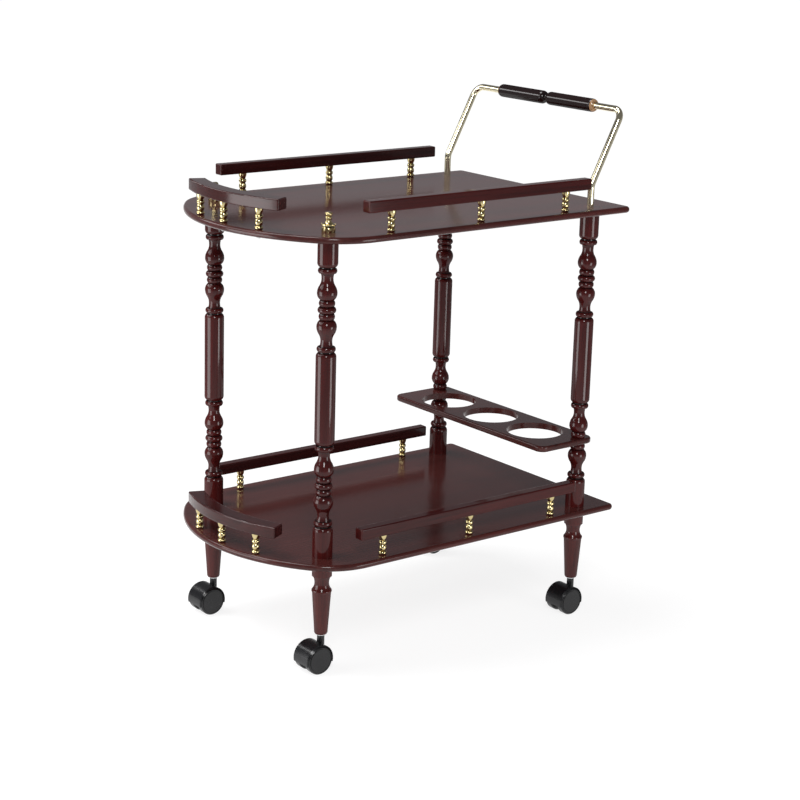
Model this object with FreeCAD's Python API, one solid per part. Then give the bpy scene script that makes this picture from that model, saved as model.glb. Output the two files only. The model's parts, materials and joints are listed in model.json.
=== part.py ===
import FreeCAD, Part
import math
import os

# A two-shelf serving cart on swivel casters, built from turned legs, gallery rails on brass posts,
# a bottle rack between the right legs and a push handle. X runs along the cart, with the bowed end
# at -X and the handle at +X. The long front side faces -Y and Z is up. The origin is on the floor,
# in the middle of the overall length and width. All lengths are in millimetres.

Vector = FreeCAD.Vector
UP = Vector(0, 0, 1)
ALONG_X = Vector(1, 0, 0)
ALONG_Y = Vector(0, 1, 0)
ORIGIN = Vector(0, 0, 0)

# Overall size
overall_height = 793.75
overall_length = 628.65
overall_width = 400.05

# Clearances
hole_clearance = 0.15
running_clearance = 0.05
turning_gap = 0.4
cut_overrun = 5.0

# Shelves
handle_overhang = 10.65
handle_rise = 150.8
shelf_thickness = 9.5
shelf_edge_round = 4.2
round_limit_share = 0.46
bow_depth = 94.0
bow_corner_radius = 100.0
square_corner_radius = 8.0
lower_shelf_height = 173.5

# Leg positions: distance of the leg axes from the shelf's ends and long sides
left_leg_inset = 97.0
left_leg_side_inset = 58.0
right_leg_inset = 56.0
right_leg_side_inset = 31.2

# Leg turning: a plain block, then bead groups with a vase each side, and a long barrel between them
leg_diameter = 29.0
leg_shoulder_diameter = 23.0
leg_shoulder_length = 5.5
middle_bead_diameter = 26.2
side_bead_diameter = 23.0
bead_groove_diameter = 19.0
bead_pitch = 9.4
bulge_diameter = 28.6
bulge_rise = 9.6
vase_length = 20.5
neck_diameter = 16.6
neck_flare_length = 8.0
neck_flare_diameter = 19.0
ring_diameter = 27.0
ring_edge_diameter = 24.4
ring_width = 6.6
groove_diameter = 20.5
groove_width = 2.0
lower_beads_share = 0.229
upper_beads_share = 0.783

# Feet below the lower shelf
foot_bottom_height = 55.5
foot_collar_diameter = 29.0
foot_collar_length = 20.0
foot_neck_diameter = 21.0
foot_neck_fall = 10.5
foot_neck_rise = 9.5
foot_ring_diameter = 29.4
foot_ring_edge_diameter = 27.0
foot_ring_width = 5.0
foot_shoulder_diameter = 27.6
foot_tip_diameter = 19.4
foot_tip_chamfer = 2.0

# Bottle rack held between the upper and lower pieces of the right legs
rack_width = 110.0
rack_side_inset = 18.0
rack_thickness = 9.5
rack_overhang = 22.5
rack_corner_radius = 14.0
rack_edge_round = 3.0
bottle_hole_diameter = 88.0
bottle_hole_count = 3
bottle_gap_share = 0.17

# Gallery rails and their posts
rail_height = 16.6
rail_thickness = 16.0
rail_edge_round = 1.8
rail_bow_end_inset = 129.5
rail_square_end_inset = 76.5
rail_side_inset = 16.5
rail_post_share = 0.393
bow_rail_thickness = 25.0
bow_rail_inset = 3.0
bow_rail_length = 210.0
bow_rail_shift = 12.0
bow_post_setback = 8.0
bow_post_pitch = 69.5
post_height = 30.0
post_base_diameter = 12.0
post_belly_diameter = 11.2
post_bead_diameter = 11.6
post_cup_diameter = 12.4
post_groove_diameter = 7.8
post_base_share = 0.18
post_belly_share = 0.50
post_bead_share = 0.72

# Screws that run up through a shelf and a post into the rail
screw_diameter = 3.5
screw_tip_diameter = 1.8
screw_tip_length = 4.0
screw_head_diameter = 7.4
screw_head_top_diameter = 5.0
screw_head_height = 2.4
screw_rail_depth = 10.0

# Bolts between the legs, feet and rack
bolt_diameter = 6.0
bolt_depth = 32.0
hole_spare_depth = 1.0

# Finials over the left legs
finial_foot_diameter = 18.8
finial_foot_height = 3.6
finial_dome_diameter = 19.8
finial_dome_rise = 5.8
finial_waist_diameter = 13.0
finial_skirt_diameter = 21.0
finial_skirt_edge = 2.0
finial_bell_rise = 5.4
finial_neck_diameter = 7.6
finial_bead_diameter = 9.4
finial_bead_rise = 2.8
finial_collar_diameter = 7.4
finial_collar_rise = 2.2
finial_cup_diameter = 10.4
finial_cup_rise = 3.4
finial_tip_diameter = 6.0
finial_tip_rise = 2.6
finial_stud_depth = 24.0
flute_count = 8
flute_diameter = 4.4
flute_depth = 1.8

# Push handle
tube_diameter = 10.2
tube_wall = 1.2
handle_bend_height = 32.0
lower_bend_radius = 20.0
upper_bend_radius = 17.0
stud_run_share = 0.8
stud_leg_depth = 28.0
grip_side_inset = 91.5
grip_diameter = 20.4
grip_end_diameter = 15.0
grip_end_round = 6.0
grip_shoulder_length = 8.0
grip_waist_diameter = 8.4
grip_waist_edge_diameter = 10.4
grip_waist_length = 4.4
grip_socket_depth = 34.0

# Twin-wheel casters
wheel_diameter = 42.0
wheel_width = 12.2
wheel_edge = 1.6
wheel_proud = 0.8
disc_diameter = 35.0
disc_groove_width = 1.2
disc_groove_depth = 0.8
caster_trail = 12.5
core_width = 12.0
hood_diameter = 46.6
hood_edge = 1.2
wheel_cavity_gap = 0.9
hood_skirt_drop = 5.5
caster_neck_diameter = 11.0
axle_diameter = 6.0
axle_bite = 9.0
stem_diameter = 7.0
stem_rise = 30.0
stem_depth = 21.0
socket_diameter = 10.4
socket_length = 33.0
socket_flange_diameter = 12.6
socket_flange_thickness = 2.0

# Places worked out from the sizes above
half_width = overall_width / 2
top_shelf_height = overall_height - handle_rise
bow_radius = (half_width ** 2 + bow_depth ** 2) / (2 * bow_depth)
bow_x = -overall_length / 2
square_end_x = overall_length / 2 - handle_overhang
bow_centre_x = bow_x + bow_radius
left_leg_y = half_width - left_leg_side_inset
right_leg_y = half_width - right_leg_side_inset
left_leg_x = bow_x + left_leg_inset
right_leg_x = square_end_x - right_leg_inset
leg_length = top_shelf_height - shelf_thickness - lower_shelf_height
lower_beads_rise = leg_length * lower_beads_share
upper_beads_rise = leg_length * upper_beads_share
rack_bottom = lower_shelf_height + lower_beads_rise - rack_thickness / 2
rack_top = rack_bottom + rack_thickness
rack_right_x = right_leg_x + rack_overhang
rack_left_x = rack_right_x - rack_width
rack_length = overall_width - 2 * rack_side_inset
bottle_gap = (rack_length - bottle_hole_count * bottle_hole_diameter) * bottle_gap_share
bottle_hole_pitch = bottle_hole_diameter + bottle_gap
foot_top = lower_shelf_height - shelf_thickness
foot_length = foot_top - foot_bottom_height
rail_left_x = bow_x + rail_bow_end_inset
rail_length = square_end_x - rail_square_end_inset - rail_left_x
rail_middle_x = rail_left_x + rail_length / 2
rail_post_pitch = rail_length * rail_post_share
rail_y = half_width - rail_side_inset
bow_rail_radius = bow_radius - bow_rail_inset
bow_post_radius = bow_rail_radius - bow_post_setback
grip_length = overall_width - 2 * grip_side_inset
grip_x = overall_length / 2 - grip_diameter / 2
grip_z = overall_height - grip_diameter / 2
handle_bend_z = top_shelf_height + handle_bend_height
handle_lean = math.atan2(grip_x - right_leg_x, grip_z - handle_bend_z)
tube_straight_run = handle_bend_height - lower_bend_radius * math.tan(handle_lean / 2)
stud_tube_depth = tube_straight_run * stud_run_share
stud_diameter = tube_diameter - 2 * tube_wall - 2 * hole_clearance
axle_z = wheel_diameter / 2
neck_top = foot_bottom_height - socket_flange_thickness - turning_gap
stem_bottom = neck_top - stem_depth
wheel_inner_y = core_width / 2 + turning_gap
hood_width = 2 * (wheel_inner_y + wheel_width - wheel_proud)

SIDES = {"front": -1, "rear": 1}
LEFT_LEGS = {
    f"{side}_left": Vector(left_leg_x, sign * left_leg_y, 0)
    for side, sign in SIDES.items()
}
RIGHT_LEGS = {
    f"{side}_right": Vector(right_leg_x, sign * right_leg_y, 0)
    for side, sign in SIDES.items()
}
ALL_LEGS = {**LEFT_LEGS, **RIGHT_LEGS}
RAILS = ("front", "rear", "bow")
SHELF_HEIGHTS = {"top": top_shelf_height, "lower": lower_shelf_height}


# Turned work: a profile is a list of (height, diameter, kind). A crown is a point where the outline
# runs level with the axis, such as the top of a bead or the bottom of a neck. A corner is any other.
CROWN, CORNER = "crown", "corner"


def profile_point(point):
    return Vector(point[1] / 2, 0, point[0])


def crown_arc(crown, end):
    """An arc that leaves the crown level with the axis and ends at the other point."""
    start, stop = profile_point(crown), profile_point(end)
    rise, step = stop.z - start.z, stop.x - start.x
    radius = (rise * rise + step * step) / (2 * step)
    half_turn = math.atan2(abs(step), abs(rise))
    middle = Vector(start.x + radius * (1 - math.cos(half_turn)), 0,
                    start.z + math.copysign(abs(radius) * math.sin(half_turn), rise))
    return Part.Arc(start, middle, stop).toShape()


def profile_edges(start, end):
    """The edges between two neighbouring points of a turned profile."""
    if start[1] == end[1] or start[2] == end[2] == CORNER:
        return [Part.LineSegment(profile_point(start), profile_point(end)).toShape()]
    if start[2] == end[2] == CROWN:
        halfway = ((start[0] + end[0]) / 2, (start[1] + end[1]) / 2, CORNER)
        return [crown_arc(start, halfway), crown_arc(end, halfway)]
    if start[2] == CROWN:
        return [crown_arc(start, end)]
    return [crown_arc(end, start)]


def turned(profile):
    """A solid of revolution about Z from a profile listed from its low end to its high end."""
    bottom, top = Vector(0, 0, profile[0][0]), Vector(0, 0, profile[-1][0])
    edges = [Part.LineSegment(bottom, profile_point(profile[0])).toShape()]
    for start, end in zip(profile, profile[1:]):
        edges += profile_edges(start, end)
    edges.append(Part.LineSegment(profile_point(profile[-1]), top).toShape())
    edges.append(Part.LineSegment(top, bottom).toShape())
    wire = Part.Wire(Part.__sortEdges__(edges))
    return Part.Face(wire).revolve(ORIGIN, UP, 360)


def stacked(profile, base):
    """The same profile with its heights counted up from the base."""
    return [(base + height, diameter, kind) for height, diameter, kind in profile]


def hanging(profile, base):
    """The same profile upside down, with its heights counted down from the base."""
    return [(base - height, diameter, kind) for height, diameter, kind in reversed(profile)]


def rod(diameter, low, high, place):
    """A plain upright cylinder between two heights."""
    return Part.makeCylinder(diameter / 2, high - low, Vector(place.x, place.y, low))


def drill(shape, diameter, low, high, place):
    """The shape with an upright hole between two heights."""
    return shape.cut(rod(diameter + 2 * hole_clearance, low, high, place))


def moved(shape, place):
    copy = shape.copy()
    copy.translate(place)
    return copy


def laid_along_y(shape):
    """A shape made about Z, turned so that its axis runs along Y and its top faces +Y."""
    return shape.rotated(ORIGIN, ALONG_X, -90)


def bow_rail_point(radius, run):
    """A point on a circle about the bow's centre, at a run along the bow's posts from the rail's middle."""
    angle = (run - bow_rail_shift) / bow_post_radius
    return Vector(bow_centre_x - radius * math.cos(angle), radius * math.sin(angle), 0)


def post_places(rail):
    """Where the three posts of a rail stand, seen from above."""
    if rail == "bow":
        return [bow_rail_point(bow_post_radius, bow_post_pitch * step) for step in (-1, 0, 1)]
    row_y = SIDES[rail] * rail_y
    return [Vector(rail_middle_x + rail_post_pitch * step, row_y, 0) for step in (-1, 0, 1)]


def shelf_outline():
    """The shelf's outline: a square end with small corners and a bowed end of three tangent arcs."""
    corner_y = half_width - bow_corner_radius
    reach = math.sqrt((bow_radius - bow_corner_radius) ** 2 - corner_y ** 2)
    corner_x = bow_centre_x - reach
    tangent_angle = math.atan2(corner_y, -reach)
    middle_angle = (tangent_angle + math.pi / 2) / 2
    inner_x, inner_y = square_end_x - square_corner_radius, half_width - square_corner_radius
    eighth = square_corner_radius * math.cos(math.pi / 4)

    def bow_corner(angle, sign):
        return Vector(corner_x + bow_corner_radius * math.cos(angle),
                      sign * (corner_y + bow_corner_radius * math.sin(angle)), 0)

    def side_points(sign):
        return (
            Vector(corner_x, sign * half_width, 0),
            Vector(inner_x, sign * half_width, 0),
            Vector(inner_x + eighth, sign * (inner_y + eighth), 0),
            Vector(square_end_x, sign * inner_y, 0),
        )

    front_bow, front_side, front_eighth, front_end = side_points(SIDES["front"])
    rear_bow, rear_side, rear_eighth, rear_end = side_points(SIDES["rear"])
    front_tangent = bow_corner(tangent_angle, SIDES["front"])
    rear_tangent = bow_corner(tangent_angle, SIDES["rear"])
    edges = [
        Part.LineSegment(front_bow, front_side),
        Part.Arc(front_side, front_eighth, front_end),
        Part.LineSegment(front_end, rear_end),
        Part.Arc(rear_end, rear_eighth, rear_side),
        Part.LineSegment(rear_side, rear_bow),
        Part.Arc(rear_bow, bow_corner(middle_angle, SIDES["rear"]), rear_tangent),
        Part.Arc(rear_tangent, Vector(bow_x, 0, 0), front_tangent),
        Part.Arc(front_tangent, bow_corner(middle_angle, SIDES["front"]), front_bow),
    ]
    return Part.Wire([edge.toShape() for edge in edges])


def rim_edges(solid):
    """The edges around a flat board's upper and lower faces."""
    box = solid.BoundBox
    middle = (box.ZMin + box.ZMax) / 2
    level = [edge for edge in solid.Edges if edge.BoundBox.ZLength < box.ZLength / 2]
    return [edge for edge in level if abs(edge.CenterOfMass.z - middle) > box.ZLength / 4]


def board(wire, bottom, thickness, edge_round):
    """A flat board with rounded edges."""
    slab = Part.Face(wire).extrude(UP * thickness)
    slab = slab.makeFillet(min(edge_round, thickness * round_limit_share), rim_edges(slab))
    return moved(slab, UP * bottom)


def shelf(name):
    """A shelf with holes for what is fixed through it at the legs and below the posts."""
    top = SHELF_HEIGHTS[name]
    bottom = top - shelf_thickness
    slab = board(shelf_outline(), bottom, shelf_thickness, shelf_edge_round)
    low, high = bottom - cut_overrun, top + cut_overrun
    right_diameter = stud_diameter if name == "top" else bolt_diameter
    for place in LEFT_LEGS.values():
        slab = drill(slab, bolt_diameter, low, high, place)
    for place in RIGHT_LEGS.values():
        slab = drill(slab, right_diameter, low, high, place)
    for rail in RAILS:
        for place in post_places(rail):
            slab = drill(slab, screw_diameter, low, high, place)
    return slab


def half_turning():
    """The leg's turning from the middle of a bead group outwards, up to the full leg diameter."""
    bead_end = bead_pitch + bead_pitch / 2
    bulge = bead_end + bulge_rise
    neck = bulge + vase_length
    ring_start = neck + neck_flare_length
    ring_end = ring_start + ring_width
    groove_end = ring_end + groove_width
    return [
        (0, middle_bead_diameter, CROWN),
        (bead_pitch / 2, bead_groove_diameter, CORNER),
        (bead_pitch, side_bead_diameter, CROWN),
        (bead_end, bead_groove_diameter, CORNER),
        (bulge, bulge_diameter, CROWN),
        (neck, neck_diameter, CROWN),
        (ring_start, neck_flare_diameter, CORNER),
        (ring_start, ring_edge_diameter, CORNER),
        (ring_start + ring_width / 2, ring_diameter, CROWN),
        (ring_end, ring_edge_diameter, CORNER),
        (ring_end, groove_diameter, CORNER),
        (groove_end, groove_diameter, CORNER),
        (groove_end, leg_shoulder_diameter, CORNER),
        (groove_end + leg_shoulder_length, leg_diameter, CROWN),
    ]


def whole_turning(middle):
    half = half_turning()
    return hanging(half[1:], middle) + stacked(half, middle)


def left_leg(place):
    """A leg in one piece between the shelves."""
    profile = [(0, leg_diameter, CORNER)]
    profile += whole_turning(lower_beads_rise) + whole_turning(upper_beads_rise)
    profile.append((leg_length, leg_diameter, CORNER))
    leg = moved(turned(profile), Vector(place.x, place.y, lower_shelf_height))
    top = lower_shelf_height + leg_length
    leg = drill(leg, bolt_diameter, lower_shelf_height - cut_overrun,
                lower_shelf_height + bolt_depth + hole_spare_depth, place)
    return drill(leg, bolt_diameter, top - finial_stud_depth - hole_spare_depth, top + cut_overrun, place)


def right_lower_leg(place):
    """The piece of a right leg between the lower shelf and the rack."""
    half = half_turning()[1:]
    profile = [(0, leg_diameter, CORNER)]
    profile += hanging(half, rack_bottom - lower_shelf_height + bead_pitch / 2)
    leg = moved(turned(profile), Vector(place.x, place.y, lower_shelf_height))
    leg = drill(leg, bolt_diameter, lower_shelf_height - cut_overrun,
                lower_shelf_height + bolt_depth + hole_spare_depth, place)
    hole_bottom = rack_bottom - bolt_depth - hole_spare_depth
    return drill(leg, bolt_diameter, hole_bottom, rack_bottom + cut_overrun, place)


def right_upper_leg(place):
    """The piece of a right leg between the rack and the top shelf."""
    top = top_shelf_height - shelf_thickness
    half = half_turning()[1:]
    profile = stacked(half, rack_top - bead_pitch / 2)
    profile += whole_turning(lower_shelf_height + upper_beads_rise)
    profile.append((top, leg_diameter, CORNER))
    leg = moved(turned(profile), place)
    leg = drill(leg, bolt_diameter, rack_top - cut_overrun, rack_top + bolt_depth + hole_spare_depth, place)
    return drill(leg, stud_diameter, top - stud_leg_depth - hole_spare_depth, top + cut_overrun, place)


def foot(place):
    """A tapered foot under the lower shelf, drilled for its bolt and for the caster's socket."""
    neck = foot_length - foot_collar_length - foot_neck_fall
    ring_top = neck - foot_neck_rise
    ring_bottom = ring_top - foot_ring_width
    profile = [
        (0, foot_tip_diameter - foot_tip_chamfer, CORNER),
        (foot_tip_chamfer, foot_tip_diameter, CORNER),
        (ring_bottom, foot_shoulder_diameter, CORNER),
        (ring_bottom + foot_ring_width / 2, foot_ring_diameter, CROWN),
        (ring_top, foot_ring_edge_diameter, CORNER),
        (neck, foot_neck_diameter, CROWN),
        (neck + foot_neck_fall, foot_ring_edge_diameter, CORNER),
        (neck + foot_neck_fall, foot_collar_diameter, CORNER),
        (foot_length, foot_collar_diameter, CORNER),
    ]
    solid = moved(turned(profile), Vector(place.x, place.y, foot_bottom_height))
    bolt_hole_bottom = foot_top - bolt_depth - hole_spare_depth
    solid = drill(solid, bolt_diameter, bolt_hole_bottom, foot_top + cut_overrun, place)
    socket_hole_top = foot_bottom_height + socket_length + hole_spare_depth
    return drill(solid, socket_diameter, foot_bottom_height - cut_overrun, socket_hole_top, place)


def finial(place):
    """A turned finial with a fluted foot and skirt, whose stud clamps the top shelf to a left leg."""
    waist = finial_foot_height + finial_dome_rise
    bell = waist + finial_skirt_edge
    neck = bell + finial_bell_rise
    bead = neck + finial_bead_rise
    collar = bead + finial_collar_rise
    cup = collar + finial_cup_rise
    body = turned([
        (0, finial_foot_diameter, CORNER),
        (finial_foot_height, finial_dome_diameter, CROWN),
        (waist, finial_waist_diameter, CORNER),
        (waist, finial_skirt_diameter, CORNER),
        (bell, finial_skirt_diameter, CORNER),
        (neck, finial_neck_diameter, CROWN),
        (bead, finial_bead_diameter, CROWN),
        (collar, finial_collar_diameter, CORNER),
        (cup, finial_cup_diameter, CROWN),
        (cup + finial_tip_rise, finial_tip_diameter, CORNER),
    ])
    flute_circle = finial_skirt_diameter / 2 - flute_depth + flute_diameter / 2
    for step in range(flute_count):
        angle = 2 * math.pi * step / flute_count
        spot = Vector(flute_circle * math.cos(angle), flute_circle * math.sin(angle), 0)
        body = body.cut(rod(flute_diameter, -cut_overrun, neck, spot))
    stud = rod(bolt_diameter, -shelf_thickness - finial_stud_depth, waist, ORIGIN)
    return moved(body.fuse(stud).removeSplitter(), place + UP * top_shelf_height)


def rounded_rectangle(left, right, half_length, radius):
    """A rectangle with rounded corners, centred on the X axis."""
    eighth = radius * math.cos(math.pi / 4)
    arcs = []
    for x, out_x, out_y in ((left, -1, -1), (right, 1, -1), (right, 1, 1), (left, -1, 1)):
        centre = Vector(x - out_x * radius, out_y * (half_length - radius), 0)
        on_long_side = centre + Vector(out_x * radius, 0, 0)
        on_short_side = centre + Vector(0, out_y * radius, 0)
        middle = centre + Vector(out_x * eighth, out_y * eighth, 0)
        if out_x == out_y:
            arcs.append((on_long_side, middle, on_short_side))
        else:
            arcs.append((on_short_side, middle, on_long_side))
    edges = []
    for (start, middle, end), following in zip(arcs, arcs[1:] + arcs[:1]):
        edges.append(Part.Arc(start, middle, end).toShape())
        edges.append(Part.LineSegment(end, following[0]).toShape())
    return Part.Wire(edges)


def bottle_rack():
    """A board with a row of round bottle holes, drilled where the leg pieces clamp it."""
    outline = rounded_rectangle(rack_left_x, rack_right_x, rack_length / 2, rack_corner_radius)
    slab = board(outline, rack_bottom, rack_thickness, rack_edge_round)
    middle_x = (rack_left_x + rack_right_x) / 2
    for step in range(bottle_hole_count):
        centre_y = bottle_hole_pitch * (step - (bottle_hole_count - 1) / 2)
        centre = Vector(middle_x, centre_y, 0)
        bore = rod(bottle_hole_diameter, rack_bottom - cut_overrun, rack_top + cut_overrun, centre)
        slab = slab.cut(bore)
    for place in RIGHT_LEGS.values():
        slab = drill(slab, bolt_diameter, rack_bottom - cut_overrun, rack_top + cut_overrun, place)
    return slab


def drill_rail(solid, rail, shelf_top):
    bottom = shelf_top + post_height
    for place in post_places(rail):
        solid = drill(solid, screw_diameter, bottom - cut_overrun,
                      bottom + screw_rail_depth + hole_spare_depth, place)
    return solid


def straight_rail(rail, shelf_top):
    """A straight bar with rounded edges along one side of a shelf."""
    corner = Vector(rail_left_x, SIDES[rail] * rail_y - rail_thickness / 2, shelf_top + post_height)
    bar = Part.makeBox(rail_length, rail_thickness, rail_height, corner)
    return drill_rail(bar.makeFillet(rail_edge_round, bar.Edges), rail, shelf_top)


def bow_rail(rail, shelf_top):
    """A board cut to follow the bowed end of a shelf, set a little towards the front."""
    runs = (-bow_rail_length / 2, 0, bow_rail_length / 2)
    outer = [bow_rail_point(bow_rail_radius, run) for run in runs]
    inner = [bow_rail_point(bow_rail_radius - bow_rail_thickness, run) for run in runs]
    edges = [
        Part.Arc(*outer),
        Part.LineSegment(outer[-1], inner[-1]),
        Part.Arc(*reversed(inner)),
        Part.LineSegment(inner[0], outer[0]),
    ]
    wire = Part.Wire([edge.toShape() for edge in edges])
    bar = moved(Part.Face(wire).extrude(UP * rail_height), UP * (shelf_top + post_height))
    return drill_rail(bar.makeFillet(rail_edge_round, bar.Edges), rail, shelf_top)


def post():
    """A turned gallery post, bored for its screw: a base bead, a belly, a small bead and a cup."""
    base, belly = post_height * post_base_share, post_height * post_belly_share
    bead = post_height * post_bead_share
    profile = [
        (0, post_groove_diameter, CORNER),
        (base / 2, post_base_diameter, CROWN),
        (base, post_groove_diameter, CORNER),
        ((base + belly) / 2, post_belly_diameter, CROWN),
        (belly, post_groove_diameter, CORNER),
        ((belly + bead) / 2, post_bead_diameter, CROWN),
        (bead, post_groove_diameter, CORNER),
        (post_height, post_cup_diameter, CROWN),
    ]
    return drill(turned(profile), screw_diameter, -cut_overrun, post_height + cut_overrun, ORIGIN)


def screw():
    """A pan-head screw with its seat at height zero and its head below."""
    length = shelf_thickness + post_height + screw_rail_depth
    return turned([
        (-screw_head_height, screw_head_top_diameter, CORNER),
        (0, screw_head_diameter, CORNER),
        (0, screw_diameter, CORNER),
        (length - screw_tip_length, screw_diameter, CORNER),
        (length, screw_tip_diameter, CORNER),
    ])


def group(solids):
    return Part.makeCompound(solids)


def rail_posts(rail, shelf_top):
    return group([moved(post(), place + UP * shelf_top) for place in post_places(rail)])


def rail_screws(shelf_top):
    seat = UP * (shelf_top - shelf_thickness)
    return group([moved(screw(), place + seat) for rail in RAILS for place in post_places(rail)])


def foot_bolts():
    low, high = foot_top - bolt_depth, lower_shelf_height + bolt_depth
    return group([rod(bolt_diameter, low, high, place) for place in ALL_LEGS.values()])


def rack_bolts():
    low, high = rack_bottom - bolt_depth, rack_top + bolt_depth
    return group([rod(bolt_diameter, low, high, place) for place in RIGHT_LEGS.values()])


def handle_studs():
    low = top_shelf_height - shelf_thickness - stud_leg_depth
    high = top_shelf_height + stud_tube_depth
    return group([rod(stud_diameter, low, high, place) for place in RIGHT_LEGS.values()])


def rounded_path(points, radii):
    """A wire of straight runs through the points, with a tangent arc at each inner point."""
    edges = []
    start = points[0]
    for before, corner, after, radius in zip(points, points[1:], points[2:], radii):
        back, ahead = (before - corner).normalize(), (after - corner).normalize()
        half_corner = back.getAngle(ahead) / 2
        setback = radius / math.tan(half_corner)
        into_bend = (back + ahead).normalize()
        middle = corner + into_bend * (radius / math.sin(half_corner) - radius)
        arc_start, arc_end = corner + back * setback, corner + ahead * setback
        edges.append(Part.LineSegment(start, arc_start).toShape())
        edges.append(Part.Arc(arc_start, middle, arc_end).toShape())
        start = arc_end
    edges.append(Part.LineSegment(start, points[-1]).toShape())
    return Part.Wire(edges)


def handle_tube(place):
    """A tube that rises from the top shelf, leans outwards and turns in to the grip."""
    spigot_y = math.copysign(grip_length / 2 - grip_socket_depth, place.y)
    path = rounded_path([
        Vector(place.x, place.y, top_shelf_height),
        Vector(place.x, place.y, handle_bend_z),
        Vector(grip_x, place.y, grip_z),
        Vector(grip_x, spigot_y, grip_z),
    ], [lower_bend_radius, upper_bend_radius])
    start = Vector(place.x, place.y, top_shelf_height)
    outer, inner = (
        path.makePipeShell([Part.Wire(Part.Circle(start, UP, diameter / 2).toShape())], True, False)
        for diameter in (tube_diameter, tube_diameter - 2 * tube_wall)
    )
    return outer.cut(inner)


def handle_grip():
    """A turned grip of two round-ended barrels with a waist, socketed at both ends for the tubes."""
    half = [
        (0, grip_waist_diameter, CROWN),
        (grip_waist_length / 2, grip_waist_edge_diameter, CORNER),
        (grip_waist_length / 2 + grip_shoulder_length, grip_diameter, CROWN),
        (grip_length / 2 - grip_end_round, grip_diameter, CROWN),
        (grip_length / 2, grip_end_diameter, CORNER),
    ]
    grip = turned(hanging(half[1:], 0) + stacked(half, 0))
    depth = grip_socket_depth + hole_spare_depth
    for end in SIDES.values():
        low, high = sorted((end * (grip_length / 2 - depth), end * (grip_length / 2 + cut_overrun)))
        grip = drill(grip, tube_diameter, low, high, ORIGIN)
    return moved(laid_along_y(grip), Vector(grip_x, 0, grip_z))


def caster_socket(place):
    """The sleeve in a foot that the caster's stem turns in, with a flange below the wood."""
    flange_bottom = foot_bottom_height - socket_flange_thickness
    sleeve_top = foot_bottom_height + socket_length
    sleeve = rod(socket_diameter, foot_bottom_height, sleeve_top, place)
    flange = rod(socket_flange_diameter, flange_bottom, foot_bottom_height, place)
    bore = stem_diameter + 2 * running_clearance
    hole = rod(bore, flange_bottom - cut_overrun, sleeve_top + cut_overrun, place)
    return sleeve.fuse(flange).removeSplitter().cut(hole)


def caster_stem(place):
    return rod(stem_diameter, stem_bottom, foot_bottom_height + stem_rise, place)


def axle_place(place):
    return Vector(place.x - caster_trail, place.y, axle_z)


def drum(diameter, width, edge):
    """A short cylinder along Y, centred on the origin, with chamfered rims."""
    return moved(laid_along_y(turned([
        (0, diameter - 2 * edge, CORNER),
        (edge, diameter, CORNER),
        (width - edge, diameter, CORNER),
        (width, diameter - 2 * edge, CORNER),
    ])), Vector(0, -width / 2, 0))


def caster_hood(place):
    """The caster's body: a drum open below, a solid core between the wheels and a neck for the stem."""
    axle = axle_place(place)
    body = drum(hood_diameter, hood_width, hood_edge)
    cavity = wheel_diameter + 2 * wheel_cavity_gap
    for side in SIDES.values():
        outwards = ALONG_Y * side
        body = body.cut(Part.makeCylinder(cavity / 2, hood_width, outwards * (core_width / 2), outwards))
    span = hood_diameter + cut_overrun
    below = Part.makeBox(2 * span, 2 * span, span, Vector(-span, -span, -span - hood_skirt_drop))
    body = moved(body.cut(below), axle)
    body = body.fuse(rod(caster_neck_diameter, axle_z, neck_top, place)).removeSplitter()
    body = drill(body, stem_diameter, stem_bottom, neck_top + cut_overrun, place)
    bore = axle_diameter / 2 + running_clearance
    bore_start = axle - ALONG_Y * (hood_width / 2)
    return body.cut(Part.makeCylinder(bore, hood_width, bore_start, ALONG_Y))


def caster_axle(place):
    half = wheel_inner_y + axle_bite
    return Part.makeCylinder(axle_diameter / 2, 2 * half, axle_place(place) - ALONG_Y * half, ALONG_Y)


def caster_wheel(place, side):
    """One wheel with a grooved outer disc and a blind bore for the axle."""
    profile = [
        (0, wheel_diameter - 2 * wheel_edge, CORNER),
        (wheel_edge, wheel_diameter, CORNER),
        (wheel_width - wheel_edge, wheel_diameter, CORNER),
        (wheel_width, wheel_diameter - 2 * wheel_edge, CORNER),
        (wheel_width, disc_diameter + 2 * disc_groove_width, CORNER),
        (wheel_width - disc_groove_depth, disc_diameter + 2 * disc_groove_width, CORNER),
        (wheel_width - disc_groove_depth, disc_diameter, CORNER),
        (wheel_width, disc_diameter, CORNER),
    ]
    wheel = turned(profile)
    bore = axle_diameter / 2 + running_clearance
    depth = cut_overrun + axle_bite + hole_spare_depth
    wheel = wheel.cut(Part.makeCylinder(bore, depth, -UP * cut_overrun))
    wheel = moved(laid_along_y(wheel), Vector(0, wheel_inner_y, 0))
    if side < 0:
        wheel = wheel.mirror(ORIGIN, ALONG_Y)
    return moved(wheel, axle_place(place))


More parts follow.
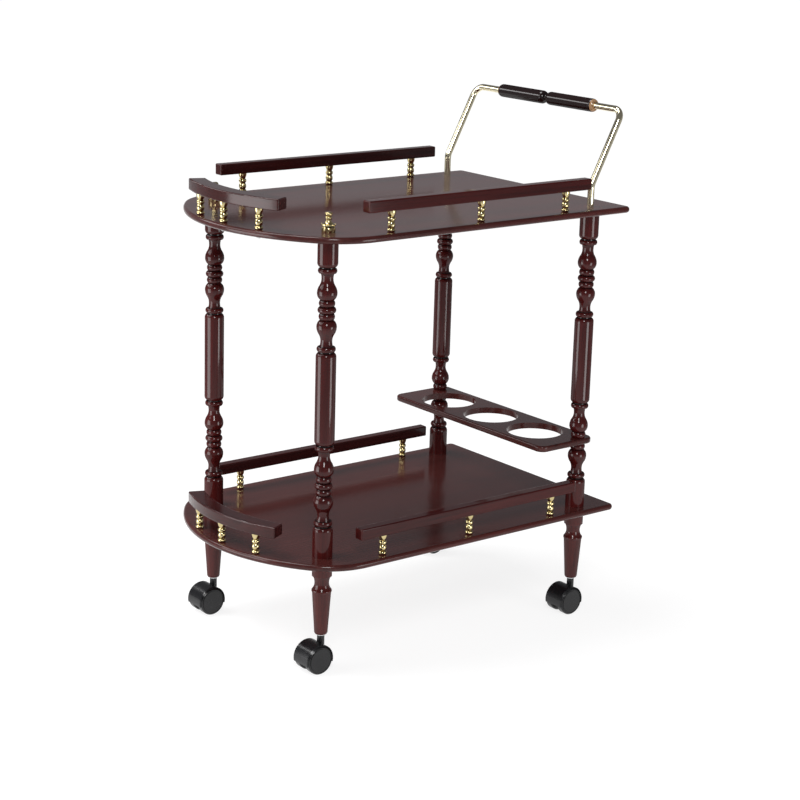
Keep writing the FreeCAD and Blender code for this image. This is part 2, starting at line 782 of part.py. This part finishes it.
def all_nodes():
    nodes = {}
    for name, shelf_top in SHELF_HEIGHTS.items():
        nodes[f"{name}_shelf"] = shelf(name)
        nodes[f"{name}_front_rail"] = straight_rail("front", shelf_top)
        nodes[f"{name}_rear_rail"] = straight_rail("rear", shelf_top)
        nodes[f"{name}_bow_rail"] = bow_rail("bow", shelf_top)
        for rail in RAILS:
            nodes[f"{name}_{rail}_rail_posts"] = rail_posts(rail, shelf_top)
        nodes[f"{name}_rail_screws"] = rail_screws(shelf_top)
    for corner, place in LEFT_LEGS.items():
        nodes[f"{corner}_leg"] = left_leg(place)
        nodes[f"{corner}_finial"] = finial(place)
    for corner, place in RIGHT_LEGS.items():
        nodes[f"{corner}_lower_leg"] = right_lower_leg(place)
        nodes[f"{corner}_upper_leg"] = right_upper_leg(place)
    for side, corner in (("front", "front_right"), ("rear", "rear_right")):
        nodes[f"{side}_handle_tube"] = handle_tube(RIGHT_LEGS[corner])
    nodes["handle_grip"] = handle_grip()
    nodes["bottle_rack"] = bottle_rack()
    nodes["foot_bolts"] = foot_bolts()
    nodes["rack_bolts"] = rack_bolts()
    nodes["handle_studs"] = handle_studs()
    nodes["caster_sockets"] = group([caster_socket(place) for place in ALL_LEGS.values()])
    for corner, place in ALL_LEGS.items():
        nodes[f"{corner}_foot"] = foot(place)
        nodes[f"{corner}_caster_hood"] = caster_hood(place)
        nodes[f"{corner}_caster_stem"] = caster_stem(place)
        nodes[f"{corner}_caster_axle"] = caster_axle(place)
        nodes[f"{corner}_caster_near_wheel"] = caster_wheel(place, SIDES["front"])
        nodes[f"{corner}_caster_far_wheel"] = caster_wheel(place, SIDES["rear"])
    return nodes


os.makedirs("parts", exist_ok=True)
for node_name, shape in all_nodes().items():
    shape.exportStep(f"parts/{node_name}.step")
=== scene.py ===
import bpy
import json
import math
from mathutils import Matrix

# Looks of the serving cart: procedural lacquered wood, brass, steel and black plastic on the
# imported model, with a pale floor, soft light and a camera. Lengths are in metres, and the scale
# of a texture is how often it repeats per metre.

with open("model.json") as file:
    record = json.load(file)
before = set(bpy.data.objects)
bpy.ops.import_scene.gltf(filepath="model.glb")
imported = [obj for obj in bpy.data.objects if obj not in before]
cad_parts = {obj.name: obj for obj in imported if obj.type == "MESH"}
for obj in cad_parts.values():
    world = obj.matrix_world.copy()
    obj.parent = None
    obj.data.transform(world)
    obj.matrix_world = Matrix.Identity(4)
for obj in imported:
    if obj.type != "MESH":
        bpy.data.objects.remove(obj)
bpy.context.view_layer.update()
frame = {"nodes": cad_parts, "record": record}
scene = bpy.context.scene
scene.view_settings.view_transform = "Standard"

# Camera, as fitted to the picture: place, direction, and focal length in pixels of the frame
CAMERA_PLACE = (-1.8327, -2.3428, 1.1525)
CAMERA_YAW = math.radians(38.475)
CAMERA_PITCH = math.radians(15.273)
CAMERA_ROLL = math.radians(1.666)
FOCAL_PIXELS = 2021.5
FRAME_PIXELS = 800
SENSOR_WIDTH_MM = 36.0

# Floor: a white sheet under the cart that widens away from the camera, on a pale grey floor.
# Each fade runs from where the sheet ends to where it is whole.
FLOOR_HALF_SIZE = 40.0
SHEET_COLOUR = (0.86, 0.86, 0.86, 1)
STUDIO_FLOOR_COLOUR = (0.50, 0.50, 0.505, 1)
SHEET_FRONT_FADE = (-1.90, -0.55)
SHEET_SIDE_FADE = (1.75, 0.58)
SHEET_WIDENING = 0.20
SHEET_WHITE_SHARE = 0.72
SHEET_GLOW = 1.16

# Light: a grey sky that fades from a low to a high colour by the sine of the height above the
# horizon, a broad sun, and softboxes that all face one target
SKY_LOW = (0.27, 0.27, 0.28, 1)
SKY_HIGH = (0.16, 0.16, 0.168, 1)
SKY_FADE = (0.20, 0.30)
SUN_STRENGTH = 2.0
SUN_ANGLE = math.radians(30)
SUN_TILT = (math.radians(-18), math.radians(-14), 0)
SOFTBOXES = {
    "left_softbox": {"place": (-1.15, 0.30, 0.33), "size": (0.70, 0.64), "watts": 4.0},
    "right_softbox": {"place": (0.37, -1.32, 0.28), "size": (0.50, 0.54), "watts": 2.9},
    "high_softbox": {"place": (-1.30, 0.60, 1.45), "size": (1.0, 0.8), "watts": 3.9},
    "rear_softbox": {"place": (-0.98, 1.40, 1.40), "size": (0.8, 0.4), "watts": 3.2},
    "key_softbox": {"place": (-1.50, -2.00, 2.10), "size": (0.6, 0.9), "watts": 18},
}
SOFTBOX_SPREAD = math.radians(125)
SOFTBOX_TARGET = (0.0, 0.0, 0.45)

# Stains, each from dark to light, and the lacquer's weight on faces seen square on and at a
# grazing angle
STAIN = ((0.020, 0.0017, 0.0016, 1), (0.056, 0.0048, 0.0042, 1))
# The rail stain darkened as painted shade, for the rear and bow rails that are the same wood as the
# front rails
SHADED_RAIL_STAIN = ((0.014, 0.0016, 0.0015, 1), (0.040, 0.0042, 0.0038, 1))
SHELF_STAIN = ((0.026, 0.0060, 0.0054, 1), (0.070, 0.0150, 0.0130, 1))
FOOT_STAIN = ((0.030, 0.0034, 0.0029, 1), (0.076, 0.0088, 0.0072, 1))
GRIP_STAIN = ((0.004, 0.0010, 0.0010, 1), (0.012, 0.0022, 0.0021, 1))
SHELF_LACQUER = (0.5, 1.0)
RAIL_LACQUER = (0.45, 1.0)
BOW_LACQUER = (0.6, 1.0)
LEG_LACQUER = (0.56, 0.06)
FOOT_LACQUER = (0.6, 0.06)
GRIP_LACQUER = (0.7, 0.07)

# Woods: the axis that the grain follows, the stain, and the lacquer's weights and roughness
WOODS = {
    "shelf_wood": {"axis": "X", "stain": SHELF_STAIN, "lacquer": SHELF_LACQUER, "roughness": 0.15},
    "front_rail_wood": {"axis": "X", "stain": STAIN, "lacquer": RAIL_LACQUER, "roughness": 0.1},
    # The rear and bow rails take the darkened stain as painted shade
    "rear_rail_wood": {"axis": "X", "stain": SHADED_RAIL_STAIN, "lacquer": RAIL_LACQUER, "roughness": 0.1},
    "bow_rail_wood": {"axis": "Y", "stain": SHADED_RAIL_STAIN, "lacquer": BOW_LACQUER, "roughness": 0.16},
    "rack_wood": {"axis": "Y", "stain": SHELF_STAIN, "lacquer": SHELF_LACQUER, "roughness": 0.14},
    "leg_wood": {"axis": "Z", "stain": STAIN, "lacquer": LEG_LACQUER, "roughness": 0.06},
    "foot_wood": {"axis": "Z", "stain": FOOT_STAIN, "lacquer": FOOT_LACQUER, "roughness": 0.07},
    "grip_wood": {"axis": "Y", "stain": GRIP_STAIN, "lacquer": GRIP_LACQUER, "roughness": 0.07},
}

# What all woods share: textures with a scale along and across the grain, the values of each
# texture over which it acts, and how strongly
GRAIN = {"run": 7.0, "cross": 260.0, "detail": 5.0, "roughness": 0.62}
FIGURE = {"run": 2.2, "cross": 16.0, "detail": 3.0, "distortion": 0.6}
PORES = {"run": 55.0, "cross": 1500.0, "detail": 2.0}
GRAIN_SHARE = 0.55
FIGURE_SHARE = 0.45
TONE_RANGE = (0.34, 0.66)
# The pores' colour, also laid into the grooves as painted shade
PORE_AND_SHADE_COLOUR = (0.004, 0.0008, 0.0008, 1)
PORE_RANGE = (0.60, 0.74)
PORE_SHARE = 0.7
PORE_DEPTH = 0.5
# Lighter edges and beads by pointiness: partly rubbed wear, partly painted highlight
RUBBED_AND_LIT_RANGE = (0.515, 0.60)
RUBBED_AND_LIT_SHARE = 0.25
RUBBED_AND_LIT_LIGHTENING = 1.5
# Painted shade in the grooves, from the piece's own occlusion
WOOD_GROOVE_SHADE = {"reach": 0.012, "shut": 0.52, "clear": 0.96}
WOOD_ROUGHNESS = (0.42, 0.60)
WOOD_SPECULAR = 0.04
GRAIN_BUMP = {"distance": 0.0002, "strength": 0.08}
LACQUER_RIPPLE = {"scale": (140, 140, 140), "detail": 1.0}
RIPPLE_BUMP = {"distance": 0.0002, "strength": 0.03, "socket": "Coat Normal"}
GRAZING_FADE = (0.42, 0.74)

# The grip's end faces, beyond this reach from its middle, are bare
GRIP_BARE_FROM = 0.1055
BARE_WOOD = (0.36, 0.21, 0.11, 1)

# Brass
BRASSES = {
    "turned_brass": {"colour": (0.60, 0.50, 0.26, 1), "mark_scale": (60, 60, 2400)},
    "tube_brass": {"colour": (0.84, 0.77, 0.55, 1), "mark_scale": (60, 60, 300)},
}
BRASS_MARK_DETAIL = 2.0
BRASS_BUMP = {"distance": 0.0001, "strength": 0.06}
BRASS_CLOUD = {"scale": (90, 90, 90), "detail": 3.0}
BRASS_ROUGHNESS = (0.056, 0.112)
# Painted shade in the grooves; it and the random tarnish clouds darken towards the colour below
BRASS_GROOVE_SHADE = {"reach": 0.009, "shut": 0.40, "clear": 0.90}
TARNISH_AND_SHADE_COLOUR = (0.15, 0.10, 0.04, 1)
TARNISH_RANGE = (0.45, 0.75)
TARNISH_SHARE = 0.25

# Steel
STEEL_LIGHT = (0.66, 0.67, 0.68, 1)
STEEL_DARK = (0.46, 0.47, 0.48, 1)
STEEL_DRAWN = {"scale": (500, 500, 60), "detail": 3.0}
STEEL_ROUGHNESS = (0.22, 0.38)
STEEL_BUMP = {"distance": 0.0001, "strength": 0.05}

# Plastics, with the roughness of their smoothest and dullest places
PLASTICS = {"hood_plastic": (0.1936, 0.253), "wheel_plastic": (0.2288, 0.299)}
PLASTIC_LIGHT = (0.0075, 0.0075, 0.0085, 1)
PLASTIC_DARK = (0.0035, 0.0035, 0.0042, 1)
PLASTIC_CLOUD = {"scale": (45, 45, 45), "detail": 4.0}
PLASTIC_TEXTURE = {"scale": (2600, 2600, 2600), "detail": 1.0}
PLASTIC_BUMP = {"distance": 0.0001, "strength": 0.10}
PLASTIC_SPECULAR = 0.40
DUST = (0.0165, 0.0165, 0.0187, 1)
DUST_RANGE = (0.52, 0.62)
DUST_SHARE = 0.5

# Values between which most of a noise lies
NOISE_RANGE = (0.3, 0.7)

# Places of the sockets of mixing nodes that share their names with other sockets
MIX_COLOUR_INPUTS = (6, 7)
MIX_COLOUR_OUTPUT = 2
MIX_SHADER_INPUTS = (1, 2)


class Graph:
    """A material's node tree around one Principled shader, with short ways to add nodes."""

    def __init__(self, name):
        self.material = bpy.data.materials.new(name)
        self.material.use_nodes = True
        self.nodes = self.material.node_tree.nodes
        self.links = self.material.node_tree.links
        self.shader = self.nodes["Principled BSDF"]
        self.place = self.nodes.new("ShaderNodeTexCoord").outputs["Object"]

    def set(self, **values):
        for socket, value in values.items():
            self.shader.inputs[socket.replace("_", " ")].default_value = value

    def feed(self, socket, output):
        self.links.new(output, self.shader.inputs[socket])

    def noise(self, scale, detail, roughness=0.55, distortion=0.0):
        """Noise in the object's coordinates, with a scale for each axis."""
        mapping = self.nodes.new("ShaderNodeMapping")
        mapping.inputs["Scale"].default_value = scale
        self.links.new(self.place, mapping.inputs["Vector"])
        node = self.nodes.new("ShaderNodeTexNoise")
        node.inputs["Scale"].default_value = 1.0
        node.inputs["Detail"].default_value = detail
        node.inputs["Roughness"].default_value = roughness
        node.inputs["Distortion"].default_value = distortion
        self.links.new(mapping.outputs["Vector"], node.inputs["Vector"])
        return node.outputs["Fac"]

    def grain(self, axis, run, cross, **look):
        """Noise drawn out along one axis, with a scale along it and one across it."""
        return self.noise(tuple(run if axis == name else cross for name in "XYZ"), **look)

    def spread(self, value, low, high, to_low, to_high, curve="LINEAR"):
        """A value mapped from one range to another, and held inside it."""
        node = self.nodes.new("ShaderNodeMapRange")
        node.interpolation_type = curve
        node.inputs["From Min"].default_value = low
        node.inputs["From Max"].default_value = high
        node.inputs["To Min"].default_value = to_low
        node.inputs["To Max"].default_value = to_high
        self.links.new(value, node.inputs["Value"])
        return node.outputs["Result"]

    def math(self, operation, first, second):
        node = self.nodes.new("ShaderNodeMath")
        node.operation = operation
        for socket, value in zip(node.inputs, (first, second)):
            if isinstance(value, (int, float)):
                socket.default_value = value
            else:
                self.links.new(value, socket)
        return node.outputs["Value"]

    def mix(self, share, first, second):
        """One colour laid over another by a share that varies over the surface."""
        node = self.nodes.new("ShaderNodeMix")
        node.data_type = "RGBA"
        self.links.new(share, node.inputs["Factor"])
        for place, colour in zip(MIX_COLOUR_INPUTS, (first, second)):
            if isinstance(colour, tuple):
                node.inputs[place].default_value = colour
            else:
                self.links.new(colour, node.inputs[place])
        return node.outputs[MIX_COLOUR_OUTPUT]

    def axis(self, name):
        node = self.nodes.new("ShaderNodeSeparateXYZ")
        self.links.new(self.place, node.inputs["Vector"])
        return node.outputs[name]

    def pointiness(self):
        return self.nodes.new("ShaderNodeNewGeometry").outputs["Pointiness"]

    def hollow_shade(self, reach, shut, clear):
        """A share from the piece's own occlusion, one in its grooves and zero on its open faces,
        used to paint shade there.
        """
        node = self.nodes.new("ShaderNodeAmbientOcclusion")
        node.only_local = True
        node.inputs["Distance"].default_value = reach
        return self.spread(node.outputs["AO"], shut, clear, 1, 0)

    def bump(self, height, distance, strength, socket="Normal"):
        node = self.nodes.new("ShaderNodeBump")
        node.inputs["Distance"].default_value = distance
        node.inputs["Strength"].default_value = strength
        self.links.new(height, node.inputs["Height"])
        self.feed(socket, node.outputs["Normal"])


def wood(name, axis, stain, lacquer, roughness):
    """Stained wood with darker pores, painted shade in its grooves and lighter edges that are
    partly rubbed wear and partly painted highlight, under a coat of lacquer.
    """
    graph = Graph(name)
    grain, figure, pores = (graph.grain(axis, **texture) for texture in (GRAIN, FIGURE, PORES))
    tone = graph.math("ADD", graph.math("MULTIPLY", grain, GRAIN_SHARE),
                      graph.math("MULTIPLY", figure, FIGURE_SHARE))
    dark, light = stain
    # Edge colour, partly rubbed wear and partly painted highlight
    rubbed_and_lit_colour = tuple(RUBBED_AND_LIT_LIGHTENING * part for part in light[:3]) + (1,)
    colour = graph.mix(graph.spread(tone, *TONE_RANGE, 0, 1), dark, light)
    colour = graph.mix(graph.spread(pores, *PORE_RANGE, 0, PORE_SHARE), colour, PORE_AND_SHADE_COLOUR)
    rubbed_and_lit = graph.spread(graph.pointiness(), *RUBBED_AND_LIT_RANGE, 0, RUBBED_AND_LIT_SHARE)
    colour = graph.mix(rubbed_and_lit, colour, rubbed_and_lit_colour)
    # Painted shade: grooves darkened towards the pore colour by the piece's own occlusion
    colour = graph.mix(graph.hollow_shade(**WOOD_GROOVE_SHADE), colour, PORE_AND_SHADE_COLOUR)
    graph.feed("Base Color", colour)
    graph.feed("Roughness", graph.spread(figure, *NOISE_RANGE, *WOOD_ROUGHNESS))
    relief = graph.math("SUBTRACT", grain, graph.math("MULTIPLY", pores, PORE_DEPTH))
    graph.bump(relief, **GRAIN_BUMP)
    graph.bump(graph.noise(**LACQUER_RIPPLE), **RIPPLE_BUMP)
    facing = graph.nodes.new("ShaderNodeLayerWeight").outputs["Facing"]
    graph.feed("Coat Weight", graph.spread(facing, *GRAZING_FADE, *lacquer))
    graph.set(Specular_IOR_Level=WOOD_SPECULAR, Coat_Roughness=roughness)
    return graph


def bare_ends(graph):
    """Leaves the grip's wood bare on the faces where the tubes go in."""
    stain = graph.shader.inputs["Base Color"].links[0].from_socket
    reach = graph.math("ABSOLUTE", graph.axis("Y"), 0)
    bare = graph.math("GREATER_THAN", reach, GRIP_BARE_FROM)
    graph.feed("Base Color", graph.mix(bare, stain, BARE_WOOD))


def brass(name, colour, mark_scale):
    """Polished brass with faint marks across its length, random clouds of tarnish and painted shade
    in its hollows.
    """
    graph = Graph(name)
    cloud = graph.noise(**BRASS_CLOUD)
    clouded = graph.spread(cloud, *TARNISH_RANGE, 0, TARNISH_SHARE)
    # Painted shade in the grooves together with random clouds of tarnish
    tarnish_and_shade_share = graph.math("MAXIMUM", graph.hollow_shade(**BRASS_GROOVE_SHADE), clouded)
    graph.feed("Base Color", graph.mix(tarnish_and_shade_share, colour, TARNISH_AND_SHADE_COLOUR))
    graph.feed("Roughness", graph.spread(cloud, *NOISE_RANGE, *BRASS_ROUGHNESS))
    graph.bump(graph.noise(mark_scale, BRASS_MARK_DETAIL), **BRASS_BUMP)
    graph.set(Metallic=1.0)
    return graph


def steel(name):
    """Plated steel with a fine drawn finish."""
    graph = Graph(name)
    drawn = graph.noise(**STEEL_DRAWN)
    graph.feed("Base Color", graph.mix(drawn, STEEL_DARK, STEEL_LIGHT))
    graph.feed("Roughness", graph.spread(drawn, *NOISE_RANGE, *STEEL_ROUGHNESS))
    graph.bump(drawn, **STEEL_BUMP)
    graph.set(Metallic=1.0)
    return graph


def plastic(name, roughness):
    """Satin black moulded plastic with a fine spark-eroded texture and dusty edges."""
    graph = Graph(name)
    cloud = graph.noise(**PLASTIC_CLOUD)
    tone = graph.mix(graph.spread(cloud, *NOISE_RANGE, 0, 1), PLASTIC_DARK, PLASTIC_LIGHT)
    dusty = graph.spread(graph.pointiness(), *DUST_RANGE, 0, DUST_SHARE)
    graph.feed("Base Color", graph.mix(dusty, tone, DUST))
    graph.feed("Roughness", graph.spread(cloud, *NOISE_RANGE, *roughness))
    graph.bump(graph.noise(**PLASTIC_TEXTURE), **PLASTIC_BUMP)
    graph.set(Specular_IOR_Level=PLASTIC_SPECULAR)
    return graph


def make_materials():
    graphs = {name: wood(name, **look) for name, look in WOODS.items()}
    bare_ends(graphs["grip_wood"])
    graphs.update({name: brass(name, **look) for name, look in BRASSES.items()})
    graphs["steel"] = steel("steel")
    graphs.update({name: plastic(name, roughness) for name, roughness in PLASTICS.items()})
    return {name: graph.material for name, graph in graphs.items()}


def material_name(node, slot):
    """The slot's own name, or for a rail the one with the side that its node's name gives."""
    # The rear rails get their own material, which carries painted shade
    if slot == "rail_wood":
        side = node.split("_")[1]
        return f"{side}_rail_wood"
    return slot


def dress_nodes():
    """Gives every CAD node the material of its slot."""
    materials = make_materials()
    slots = {part["node"]: part["material_slot"] for part in frame["record"]["subparts"]}
    for node, obj in frame["nodes"].items():
        material = materials[material_name(node, slots[node])]
        if not obj.material_slots:
            obj.data.materials.append(material)
        for material_slot in obj.material_slots:
            material_slot.material = material


def floor_material():
    """A sheet that shows white to the camera and in reflections and keeps a soft shadow."""
    graph = Graph("floor")
    across, away = graph.axis("X"), graph.axis("Y")
    widening = graph.math("MULTIPLY", away, SHEET_WIDENING)
    reach = graph.math("SUBTRACT", graph.math("ABSOLUTE", across, 0), widening)
    sides = graph.spread(reach, *SHEET_SIDE_FADE, 0, 1, "SMOOTHSTEP")
    front = graph.spread(away, *SHEET_FRONT_FADE, 0, 1, "SMOOTHSTEP")
    sheet = graph.math("MULTIPLY", sides, front)
    graph.feed("Base Color", graph.mix(sheet, STUDIO_FLOOR_COLOUR, SHEET_COLOUR))
    graph.set(Roughness=1.0, Specular_IOR_Level=0.0)
    rays = graph.nodes.new("ShaderNodeLightPath")
    seen = rays.outputs["Is Camera Ray"]
    for kind in ("Is Glossy Ray", "Is Transmission Ray"):
        seen = graph.math("MAXIMUM", seen, rays.outputs[kind])
    glow_share = graph.math("MULTIPLY", graph.math("MULTIPLY", seen, sheet), SHEET_WHITE_SHARE)
    white = graph.nodes.new("ShaderNodeEmission")
    white.inputs["Strength"].default_value = SHEET_GLOW
    blend = graph.nodes.new("ShaderNodeMixShader")
    graph.links.new(glow_share, blend.inputs["Fac"])
    shaders = (graph.shader.outputs["BSDF"], white.outputs["Emission"])
    for place, shader in zip(MIX_SHADER_INPUTS, shaders):
        graph.links.new(shader, blend.inputs[place])
    graph.links.new(blend.outputs["Shader"], graph.nodes["Material Output"].inputs["Surface"])
    return graph.material


def add_floor():
    """A wide floor whose Y axis points away from the camera."""
    signs = [(-1, -1), (1, -1), (1, 1), (-1, 1)]
    corners = [(x * FLOOR_HALF_SIZE, y * FLOOR_HALF_SIZE, 0) for x, y in signs]
    mesh = bpy.data.meshes.new("floor")
    mesh.from_pydata(corners, [], [(0, 1, 2, 3)])
    mesh.materials.append(floor_material())
    floor = bpy.data.objects.new("floor", mesh)
    floor.rotation_euler.z = -CAMERA_YAW
    scene.collection.objects.link(floor)


def add_sky():
    """A grey sky that is a little paler near the horizon."""
    world = bpy.data.worlds.new("studio")
    world.use_nodes = True
    nodes, links = world.node_tree.nodes, world.node_tree.links
    direction = nodes.new("ShaderNodeTexCoord").outputs["Generated"]
    parts = nodes.new("ShaderNodeSeparateXYZ")
    fade = nodes.new("ShaderNodeMapRange")
    fade.inputs["From Min"].default_value, fade.inputs["From Max"].default_value = SKY_FADE
    colour = nodes.new("ShaderNodeMix")
    colour.data_type = "RGBA"
    for place, shade in zip(MIX_COLOUR_INPUTS, (SKY_LOW, SKY_HIGH)):
        colour.inputs[place].default_value = shade
    links.new(direction, parts.inputs["Vector"])
    links.new(parts.outputs["Z"], fade.inputs["Value"])
    links.new(fade.outputs["Result"], colour.inputs["Factor"])
    links.new(colour.outputs[MIX_COLOUR_OUTPUT], nodes["Background"].inputs["Color"])
    scene.world = world


def add_sun():
    sun = bpy.data.lights.new("sun", "SUN")
    sun.energy = SUN_STRENGTH
    sun.angle = SUN_ANGLE
    lamp = bpy.data.objects.new("sun", sun)
    lamp.rotation_euler = SUN_TILT
    scene.collection.objects.link(lamp)


def add_softboxes():
    target = bpy.data.objects.new("light_target", None)
    target.location = SOFTBOX_TARGET
    scene.collection.objects.link(target)
    for name, settings in SOFTBOXES.items():
        light = bpy.data.lights.new(name, "AREA")
        light.shape = "RECTANGLE"
        light.size, light.size_y = settings["size"]
        light.energy = settings["watts"]
        light.spread = SOFTBOX_SPREAD
        lamp = bpy.data.objects.new(name, light)
        lamp.location = settings["place"]
        aim = lamp.constraints.new("TRACK_TO")
        aim.target = target
        aim.track_axis, aim.up_axis = "TRACK_NEGATIVE_Z", "UP_Y"
        scene.collection.objects.link(lamp)


def add_camera():
    camera = bpy.data.cameras.new("camera")
    camera.sensor_width = SENSOR_WIDTH_MM
    camera.lens = FOCAL_PIXELS / FRAME_PIXELS * SENSOR_WIDTH_MM
    camera.clip_end = 2 * FLOOR_HALF_SIZE
    viewer = bpy.data.objects.new("camera", camera)
    yaw = Matrix.Rotation(-CAMERA_YAW, 4, "Z")
    pitch = Matrix.Rotation(math.pi / 2 - CAMERA_PITCH, 4, "X")
    roll = Matrix.Rotation(CAMERA_ROLL, 4, "Z")
    viewer.matrix_world = Matrix.Translation(CAMERA_PLACE) @ yaw @ pitch @ roll
    scene.collection.objects.link(viewer)
    scene.camera = viewer


dress_nodes()
add_floor()
add_sky()
add_sun()
add_softboxes()
add_camera()
